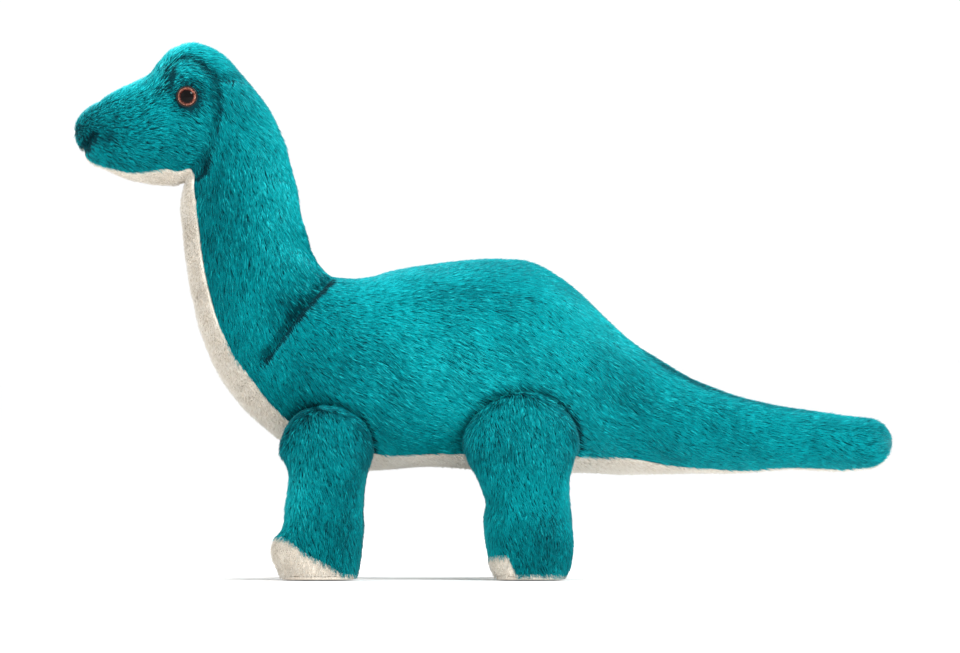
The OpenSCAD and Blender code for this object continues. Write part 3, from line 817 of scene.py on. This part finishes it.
def dense(first, last, rows, columns):
    # a fine grid of a surface's two parameters, the second from 0 to 180 degrees
    return np.meshgrid(np.linspace(first, last, rows), np.linspace(0, 180, columns), indexing="ij")


trunkDepth = depthMap(spineShape(*dense(neckBase - 2, tailCut + 4, 900, 700)))
legDepth = np.maximum.reduce([
    depthMap(legShape(leg, *dense(3, leg["hip"][1] + 90, 900, 400))) for leg in legs.values()
])


def nearHip(p, shrink):
    # points inside the round top of a leg or straight below it, less a margin in mm
    found = np.zeros(p.shape[:-1], bool)
    for leg in legs.values():
        x, z = p[..., 0] / mm - leg["hip"][0], p[..., 2] / mm - leg["hip"][1]
        column = (np.abs(x) < leg["radius"] * 0.7) & (z < 0)
        cap = np.hypot(x, z) < leg["radius"] - shrink
        found |= (cap | column) & (np.abs(p[..., 1]) / mm > legBuild["space"] / 2 + shrink)
    return found


# ---- how the pile lies ----

bellyHeight = 72  # the trunk's underside above the floor, in mm
nap = {
    # [station, value]: how much the pile hangs down, and its length as a share of the coat's
    "fall": [
        (-1, 0.1), (3, 0.3), (9, 0.2), (12, 0.0), (16, 0.35), (20, 0.6), (24, 0.5), (28, 0.3), (35, 0.1),
    ],
    "length": [
        (-1, 0.55), (0, 0.6), (3, 0.68), (7, 0.78), (9, 0.85), (12, 1), (30, 1), (34, 0.9), (35, 0.75),
    ],
    "eyeBare": 7.6, "eyeFull": 16,  # no pile this near the eye's middle, full length this far
    "legLength": 0.85,
    "tone": 0.5, "legTone": 0.48,
    # painted highlights: the share of strands given a bright glint at the tip everywhere
    "glint": 0.02,  # share of bright tips everywhere
}


def along(t, table):
    # straight lines between the table's values
    places, values = zip(*table)
    return np.interp(t, places, values)


def spineComb(t, theta, n):
    # towards the tail along the surface, with a share of straight down that grows on the flanks
    near = np.clip(t, -0.95, None)
    step = unit(spineSurface(near + 0.05, theta) - spineSurface(near - 0.05, theta))
    fall = along(t, nap["fall"])
    down = np.array([0, 0, -1.0])
    down = down - n * (n @ down)[..., None]
    return unit(step + down * (fall * np.abs(np.sin(np.radians(theta))))[..., None])


def spinePatch(grid, extra=None):
    # The pile is shorter in a fold and round the eye. Its tone gets painted shade in a fold,
    # placed by where the middle of a strand lies, and painted light and shade in patches. A
    # mirrored grid is combed as the side that it came from.
    p, n, t, theta = grid
    comb = spineComb(t, theta, n)
    if p[..., 1].mean() < 0 and theta.mean() < 180:
        comb = spineComb(t, theta, n * across) * across
    eye = np.hypot(p[..., 0] / mm - eyePlace[0], p[..., 2] / mm - eyePlace[1])
    length = along(t, nap["length"]) * (1 - 0.35 * ease(foldSum(p, folds), 0.5, 2.5))
    shorter = (0.4 + 0.6 * ease(eye, nap["eyeBare"] + 0.9, nap["eyeFull"])) * (eye > nap["eyeBare"])
    length = np.where(np.abs(p[..., 1]) / mm > 15, length * shorter, length)
    tone = nap["tone"] + unevenness(p, "spineTone")
    middle = p + comb * (tealCoat["length"] * mm * 0.55 * length)[..., None]
    # painted light and shade from the patches, and painted shade in the folds
    tone = tone + patchwork(p, paintedLightAndShade.values()) - foldSum(middle, foldShade)
    return {
        "points": p, "normals": n, "comb": comb, "tone": tone, "length": length,
        "glint": nap["glint"] + patchwork(p, glints), **(extra or {}),
    }


def legPatch(grid, leg):
    # combed down and a little back, with painted shade round the top edge, none inside the trunk
    p, n = grid[:2]
    down = np.array([0.25, 0, -1.0])
    comb = unit(down - n * (n @ down)[..., None])
    tone = nap["legTone"] + unevenness(p, "legTone")
    edge = np.hypot(p[..., 0] / mm - leg["hip"][0], p[..., 2] / mm - leg["hip"][1]) - leg["radius"]
    # painted shade in the crease round the top of the leg
    tone = tone - 0.22 * hump(edge, 5) * (p[..., 2] / mm > leg["hip"][1] - 10)
    # painted light on the shin, painted shade at the heel and ankle
    tone = tone + patchwork(p, [paintedLightAndShade[name] for name in ("shin", "heel", "ankle")])
    return {
        "points": p, "normals": n, "comb": comb, "tone": tone,
        "length": np.full(p.shape[:-1], nap["legLength"]),
        "glint": nap["glint"] + patchwork(p, glints),
        "skip": lambda q: insideOf(trunkDepth, q, 1.5) & (q[:, 2] > bellyHeight * mm),
    }


# ---- head, neck, trunk and tail ----

skinBuild = {
    "thickness": 2.0, "sideColumns": 40, "crownColumns": 30, "bellyColumns": 26,
    "fill": 0.85,  # how tightly the toy is stuffed
}


def zero(t):
    return 0 * t


def upperSeam(t):
    return seamAngle(t, "upper")


def lowerSeam(t):
    return seamAngle(t, "lower")


def place(piece, rides):
    # rides is a body, or (a, b, start, end) for a piece between two bodies, which only has its place baked
    # into its points; a, b, start and end are not used
    if isinstance(rides, str):
        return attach(piece, rides)
    a, b, start, end = rides
    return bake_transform(piece, a, b, [v * mm for v in start], [v * mm for v in end])


def atHip(grid):
    # cells to keep: all but those hidden deep inside a leg
    p = grid[0]
    middle = (p[:-1, :-1] + p[1:, 1:]) / 2
    return ~nearHip(middle, 5)


intoHead = ("neck", "head", (-150, 0, 222), (-190, 0, 262))
intoNeck = ("torso", "neck", (-131, 0, 159), (-165, 0, 183))
intoTail = ("torso", "tail", (54, 0, 118), (125, 0, 110))

spinePieces = [
    # name, first and last station, what it rides, whether hips cut it
    ("head", -1, headBase, "head", False),
    ("upperNeck", headBase, neckCut, intoHead, False),
    ("lowerNeck", neckCut, neckBase, intoNeck, False),
    ("trunk", neckBase, tailCut, "torso", True),
    ("tail", tailCut, lastStation + 1, intoTail, True),
]
standsFor = {
    "headSideRight": ["head_side_right", "head_stuffing"], "headSideLeft": ["head_side_left"],
    "headCrown": ["crown_panel"], "headChin": ["chin_panel"],
    "upperNeckRight": ["neck_side_right", "neck_stuffing"], "upperNeckLeft": ["neck_side_left"],
    "upperNeckThroat": ["throat_panel"],
    "trunkRight": ["body_side_right", "torso_stuffing"], "trunkLeft": ["body_side_left"],
    "trunkBelly": ["belly_panel"],
    "tailRight": ["tail_side_right", "tail_stuffing"], "tailLeft": ["tail_side_left"],
    "tailUnder": ["under_tail_panel"],
}


def addSkin(name, grid, rides, finish, cut, ring=False):
    # one stuffed panel, with the CAD parts it stands for
    keep = atHip(grid) if cut else None
    made = shell(name, grid[0], grid[1], keep, skinBuild["thickness"], finish, ring)
    if name in standsFor:
        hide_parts(*standsFor[name])
    place(made, rides)


def inLeg(q):
    # points of the trunk that a leg covers
    return insideOf(legDepth, q, 1.0) & (np.abs(q[:, 1]) > (legBuild["space"] / 2 + 1) * mm)


for name, first, last, rides, cut in spinePieces:
    teal, cream = [], []
    extra = {"skip": inLeg} if cut else None
    if name == "head":
        crown = spineGrid(first, last, lambda t: -upperSeam(t), upperSeam, skinBuild["crownColumns"])
        addSkin("headCrown", crown, rides, tealSkin, False)
        teal.append(spinePatch(crown, extra))
        side = spineGrid(first, last, upperSeam, lowerSeam, skinBuild["sideColumns"])
        names = ("headSideRight", "headSideLeft", "headChin")
    else:
        side = spineGrid(first, last, zero, lowerSeam, skinBuild["sideColumns"] * 2)
        below = {"tail": "Under", "trunk": "Belly"}.get(name, "Throat")
        names = (name + "Right", name + "Left", name + below)
    under = spineGrid(first, last, lowerSeam, lambda t: 360 - lowerSeam(t), skinBuild["bellyColumns"])
    other = mirrored(side)
    addSkin(names[0], side, rides, tealSkin, cut)
    addSkin(names[1], other, rides, tealSkin, cut)
    addSkin(names[2], under, rides, creamSkin, cut)
    if name in ("trunk", "tail"):
        for label, grid in (("Right", side), ("Left", other)):
            half = len(grid[0]) // 2 if name == "trunk" else 0
            for end, rows in (("", slice(half, None)), ("Front", slice(None, half + 1))):
                if end and not half:
                    continue
                cutGrid = tuple(field[rows] for field in grid)
                strands = pile(name + "Pile" + label + end, [spinePatch(cutGrid, extra)], tealCoat, tealPile)
                place(strands, rides)
    else:
        teal += [spinePatch(side, extra), spinePatch(other, extra)]
        place(pile(name + "Pile", teal, tealCoat, tealPile), rides)
    strands = pile(name + "CreamPile", [spinePatch(under, extra)], creamCoat, creamPile)
    place(strands, rides)
print("spine done")

# ---- legs ----

for which, leg in legs.items():
    outer = legGrid(leg, "leg", 0, 180, legBuild["columns"])
    inner = legGrid(leg, "leg", 180, 360, legBuild["columns"])
    toe = legGrid(leg, "toe", 0, 360, legBuild["toeColumns"])
    # the sole: rings that shrink from the foot's outline to its middle, flat on the floor
    phi = np.linspace(0, 360, legBuild["toeColumns"] + 1)[None, :]
    rim = legSurface(leg, np.full(phi.shape, 1.2), phi)
    middle = rim[:, :-1].mean(axis=1, keepdims=True)
    flatSole = middle + (rim - middle) * np.linspace(0, 1, 7)[::-1, None, None]
    flatSole[..., 2] = 0.2 * mm
    for sideName, flip in (("Right", False), ("Left", True)):
        turnOver = mirrored if flip else (lambda grid: grid)
        body = f"leg_{which}_{sideName.lower()}"
        stem = which + "Leg" + sideName
        standsFor[stem + "Outer"] = [body + "_outer_panel", body + "_stuffing"]
        standsFor[stem + "Inner"] = [body + "_inner_panel"]
        standsFor[stem + "Toe"] = [body + "_toe_panel"]
        standsFor[stem + "Sole"] = [body + "_sole"]
        parts = [turnOver(outer), turnOver(inner), turnOver(toe)]
        addSkin(stem + "Outer", parts[0], body, tealSkin, False)
        addSkin(stem + "Inner", parts[1], body, tealSkin, False)
        addSkin(stem + "Toe", parts[2], body, creamSkin, False, True)
        down = np.zeros_like(flatSole) + np.array([0, 0, -1.0])
        sole = turnOver((flatSole, down, flatSole[..., 0], flatSole[..., 0]))
        addSkin(stem + "Sole", sole, body, creamSkin, False, True)
        patches = [legPatch(parts[0], leg), {**legPatch(parts[1], leg), "thick": strand["thinInside"]}]
        strands = pile(stem + "Pile", patches, tealCoat, tealPile)
        place(strands, body)
        strands = pile(stem + "ToePile", [legPatch(parts[2], leg)], creamCoat, creamPile)
        place(strands, body)
print("legs done")

# ---- eyes ----

eyes = {  # in mm, heights measured from the seat, which is so far from the middle of the toy
    "seat": 27.3,
    "domeRadius": 6.35, "domeEdge": 1.6, "domeTop": 6.0, "domeBack": 1.5,
    "rimRadius": 6.4, "rimHeight": 1.4, "rimSection": (0.55, 1.0),
    "columns": 64, "rows": 16, "rimRows": 25,
}


def lathe(name, profile, side, finish):
    # a profile of [radius, height] turned round the line out of the side of the head
    profile = np.array(profile, float)
    turn = np.linspace(0, 2 * math.pi, eyes["columns"], endpoint=False)
    r, h = profile[:, 0][:, None], profile[:, 1][:, None]
    points = np.stack([
        eyePlace[0] + r * np.cos(turn),
        side * (eyes["seat"] + h + 0 * turn),
        eyePlace[1] + r * np.sin(turn),
    ], -1) * mm * stretch
    m, n = points.shape[:2]
    number = np.arange(m * n).reshape(m, n)
    a, b = number[:-1], np.roll(number, -1, 1)[:-1]
    faces = np.stack([a, b, np.roll(number, -1, 1)[1:], number[1:]], -1).reshape(-1, 4)
    flat = points.reshape(-1, 3)
    if signedVolume(flat - flat.mean(0), faces) < 0:
        faces = faces[:, ::-1]
    made = makeObject(name, flat, faces, finish)
    mergeDoubles(made)
    return made


def domeProfile():
    # a quarter of an ellipse from the rim up to the middle, closed by a flat back
    radius, low, high = eyes["domeRadius"], eyes["domeEdge"], eyes["domeTop"]
    a = np.linspace(0, math.pi / 2, eyes["rows"])
    arc = np.stack([radius * np.cos(a), low + (high - low) * np.sin(a)], -1)
    back = low - eyes["domeBack"]
    return np.vstack([[[0, back], [radius, back]], arc])


def rimProfile():
    # an ellipse round a point beside the dome's edge
    a = np.linspace(0, 2 * math.pi, eyes["rimRows"])
    wide, tall = eyes["rimSection"]
    return np.stack([eyes["rimRadius"] + wide * np.cos(a), eyes["rimHeight"] + tall * np.sin(a)], -1)


def eyeFinish(side):
    # Distance from the middle of the eye, in cm, picks pupil, speckled ring and dark edge. The
    # ring goes from rust to pink, its border moved in and out by the specks.
    finish = Finish(
        "eyeGlass" + side, Roughness=0.12, Coat_Weight=0.05, Coat_Roughness=0.03, Specular_IOR_Level=0.07
    )
    centre = (eyePlace[0] * mm * stretch[0], 0, eyePlace[1] * mm * stretch[2])
    place = finish.place()
    split = finish.add("ShaderNodeVectorMath", {"operation": "SUBTRACT"}, {0: place, 1: centre})
    flat = finish.add("ShaderNodeVectorMath", {"operation": "MULTIPLY"}, {0: split, 1: (1000, 0, 1000)})
    outward = finish.add("ShaderNodeVectorMath", {"operation": "LENGTH"}, {0: flat}, "Value") * 0.1
    speck = finish.noise(place, 1500, 3, 0.7)
    flecks = finish.ramp(speck, [(0.40, colours["fleck"]), (0.50, colours["amber"]), (0.60, colours["pink"])])
    depth = finish.ramp(
        outward + speck * 0.14, [(0.50, colours["rust"]), (0.57, (0.7, 0.6, 0.6)), (0.65, (1.5, 1.8, 1.8))]
    )
    iris = finish.mix(1.0, flecks, depth, "MULTIPLY")
    black, white = colours["black"], colours["white"]
    ring = finish.ramp(outward, [(0.0, black), (0.36, black), (0.44, white), (0.56, white), (0.60, black)])
    return finish.feed(Base_Color=finish.mix(ring, (*colours["pupil"], 1), iris))


rimFinish = Finish("eyeRim", Roughness=0.3, Base_Color=(*colours["rim"], 1)).material
for sideName, side in (("right", 1), ("left", -1)):
    label = sideName.capitalize()
    dome = lathe("eyeDome" + label, domeProfile(), side, eyeFinish(label))
    rimPiece = lathe("eyeRim" + label, rimProfile(), side, rimFinish)
    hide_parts("eye_" + sideName)
    for piece in (dome, rimPiece):
        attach(piece, "head")
    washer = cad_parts["eye_washer_" + sideName]
    washer.data.materials.clear()
    washer.data.materials.append(rimFinish)
print("eyes done")

# ---- floor, lights and camera ----

studio = {
    # the camera's distance in m, and in mm the middle (x, z) and the width of its view
    "distance": 9.0, "middle": (-1.6, 163.5), "viewWidth": 624,
    "aim": (0, 0, 0.15),
    "worldStrength": 1.04,
    # [place, size, power]
    "lights": {
        "keyLight": ((1.5, -1.7, 1.7), 0.7, 62),
        "fillLight": ((-1.6, -1.8, 0.9), 1.4, 3),
        "topLight": ((0.4, 0.5, 2.0), 0.8, 22),
    },
}


def roundFloor(radius, rings, columns):
    # rings of points about the origin, the radius growing by even steps
    r = np.linspace(0.001, radius, rings)[:, None]
    turn = np.linspace(0, 2 * math.pi, columns, endpoint=False)[None, :]
    points = np.stack([r * np.cos(turn), r * np.sin(turn), -0.0005 + 0 * r * turn], -1)
    number = np.arange(rings * columns).reshape(rings, columns)
    after = np.roll(number, -1, 1)
    faces = np.stack([number[:-1], number[1:], after[1:], after[:-1]], -1).reshape(-1, 4)
    finish = Finish("paleFloor", Roughness=0.9, Specular_IOR_Level=0.1, Base_Color=(0.97, 0.97, 0.97, 1))
    makeObject("floor", points.reshape(-1, 3), faces, finish.material)


roundFloor(60, 12, 48)

world = bpy.data.worlds.new("studio")
bpy.context.scene.world = world
world.use_nodes = True
world.node_tree.nodes["Background"].inputs["Color"].default_value = (1, 1, 1, 1)
world.node_tree.nodes["Background"].inputs["Strength"].default_value = studio["worldStrength"]


def areaLight(name, place, size, power):
    # a round lamp turned towards the toy
    lamp = bpy.data.lights.new(name, "AREA")
    lamp.shape, lamp.size, lamp.energy = "DISK", size, power
    made = bpy.data.objects.new(name, lamp)
    bpy.context.scene.collection.objects.link(made)
    made.location = place
    toward = Vector(studio["aim"]) - Vector(place)
    made.rotation_euler = toward.to_track_quat("-Z", "Y").to_euler()


for name, (where, size, power) in studio["lights"].items():
    areaLight(name, where, size, power)

camera = bpy.data.objects.new("camera", bpy.data.cameras.new("camera"))
bpy.context.scene.collection.objects.link(camera)
camera.data.sensor_width = 36
camera.data.lens = 36 * studio["distance"] / (studio["viewWidth"] * mm)
camera.data.clip_end = 100
camera.location = (studio["middle"][0] * mm, -studio["distance"], studio["middle"][1] * mm)
camera.rotation_euler = (math.pi / 2, 0, 0)
bpy.context.scene.camera = camera
bpy.context.scene.view_settings.view_transform = "Standard"
